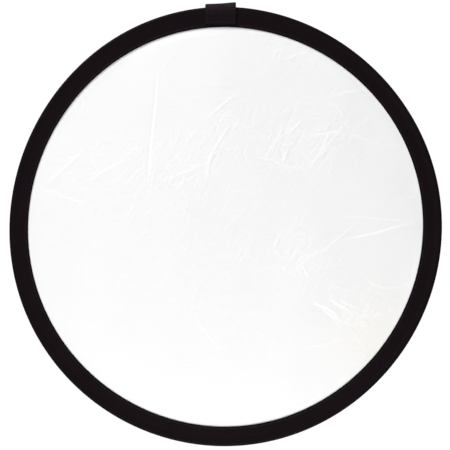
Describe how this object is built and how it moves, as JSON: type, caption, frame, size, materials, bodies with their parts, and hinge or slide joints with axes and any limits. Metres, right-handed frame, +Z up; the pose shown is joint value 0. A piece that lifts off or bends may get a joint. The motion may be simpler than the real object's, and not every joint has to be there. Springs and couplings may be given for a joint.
{
  "type": "collapsible round backdrop panel",
  "caption": "Round twist-fold panel: white cloth with a silver reverse on a sprung steel hoop, bound with black tape, with a strap tab over the hoop joint.",
  "frame": {"origin": "where a clip grips the strap tab, straight above the panel's middle and on its mid-plane", "axes": "+Z up in the plane of the panel, -Y out of the white face, +X to the right as the white face is looked at"},
  "size_m": [0.5564, 0.013, 0.5711],
  "materials": {
    "white_cloth": "satin",
    "silver_cloth": "satin",
    "binding": "matte",
    "webbing": "matte",
    "thread": "matte",
    "spring_steel": "satin",
    "sleeve": "satin",
    "chafe_tube": "matte"
  },
  "bodies": {
    "centre": {"hem_top_centre": "binding", "hem_thread_top_centre": "thread", "hem_bottom_centre": "binding", "hem_thread_bottom_centre": "thread", "band_end_left": "spring_steel", "band_end_right": "spring_steel", "band_bottom_centre": "spring_steel", "face_cloth_centre": "white_cloth", "reverse_cloth_centre": "silver_cloth", "joint_sleeve": "sleeve", "chafe_tube": "chafe_tube", "tab_strap": "webbing", "tab_stitching": "thread"},
    "right_1": {"hem_top_right_1": "binding", "hem_thread_top_right_1": "thread", "hem_bottom_right_1": "binding", "hem_thread_bottom_right_1": "thread", "band_top_right_1": "spring_steel", "band_bottom_right_1": "spring_steel", "face_cloth_right_1": "white_cloth", "reverse_cloth_right_1": "silver_cloth"},
    "right_2": {"hem_top_right_2": "binding", "hem_thread_top_right_2": "thread", "hem_bottom_right_2": "binding", "hem_thread_bottom_right_2": "thread", "band_top_right_2": "spring_steel", "band_bottom_right_2": "spring_steel", "face_cloth_right_2": "white_cloth", "reverse_cloth_right_2": "silver_cloth"},
    "right_3": {"hem_side_right_3": "binding", "hem_thread_side_right_3": "thread", "band_side_right_3": "spring_steel", "face_cloth_right_3": "white_cloth", "reverse_cloth_right_3": "silver_cloth"},
    "left_1": {"hem_top_left_1": "binding", "hem_thread_top_left_1": "thread", "hem_bottom_left_1": "binding", "hem_thread_bottom_left_1": "thread", "band_top_left_1": "spring_steel", "band_bottom_left_1": "spring_steel", "face_cloth_left_1": "white_cloth", "reverse_cloth_left_1": "silver_cloth"},
    "left_2": {"hem_top_left_2": "binding", "hem_thread_top_left_2": "thread", "hem_bottom_left_2": "binding", "hem_thread_bottom_left_2": "thread", "band_top_left_2": "spring_steel", "band_bottom_left_2": "spring_steel", "face_cloth_left_2": "white_cloth", "reverse_cloth_left_2": "silver_cloth"},
    "left_3": {"hem_side_left_3": "binding", "hem_thread_side_left_3": "thread", "band_side_left_3": "spring_steel", "face_cloth_left_3": "white_cloth", "reverse_cloth_left_3": "silver_cloth"}
  },
  "joints": [
    {"name": "fold_right_inner", "type": "hinge", "parent": "centre", "child": "right_1", "pos_m": [0.02805, 0, -0.26661], "axis": [0, 0, 1], "range_deg": [-30, 30], "stiffness_Nm_per_rad": 2.2},
    {"name": "fold_right_middle", "type": "hinge", "parent": "right_1", "child": "right_2", "pos_m": [0.07674, 0, -0.26661], "axis": [0, 0, 1], "range_deg": [-30, 30], "stiffness_Nm_per_rad": 2.2},
    {"name": "fold_right_outer", "type": "hinge", "parent": "right_2", "child": "right_3", "pos_m": [0.12544, 0, -0.26661], "axis": [0, 0, 1], "range_deg": [-30, 30], "stiffness_Nm_per_rad": 2.2},
    {"name": "fold_left_inner", "type": "hinge", "parent": "centre", "child": "left_1", "pos_m": [-0.02805, 0, -0.26661], "axis": [0, 0, -1], "range_deg": [-30, 30], "stiffness_Nm_per_rad": 2.2},
    {"name": "fold_left_middle", "type": "hinge", "parent": "left_1", "child": "left_2", "pos_m": [-0.07674, 0, -0.26661], "axis": [0, 0, -1], "range_deg": [-30, 30], "stiffness_Nm_per_rad": 2.2},
    {"name": "fold_left_outer", "type": "hinge", "parent": "left_2", "child": "left_3", "pos_m": [-0.12544, 0, -0.26661], "axis": [0, 0, -1], "range_deg": [-30, 30], "stiffness_Nm_per_rad": 2.2}
  ],
  "couplings": [
    {"joint": "fold_right_middle", "follows": "fold_right_inner", "ratio": 1},
    {"joint": "fold_right_outer", "follows": "fold_right_inner", "ratio": 1},
    {"joint": "fold_left_inner", "follows": "fold_right_inner", "ratio": 1},
    {"joint": "fold_left_middle", "follows": "fold_right_inner", "ratio": 1},
    {"joint": "fold_left_outer", "follows": "fold_right_inner", "ratio": 1}
  ]
}
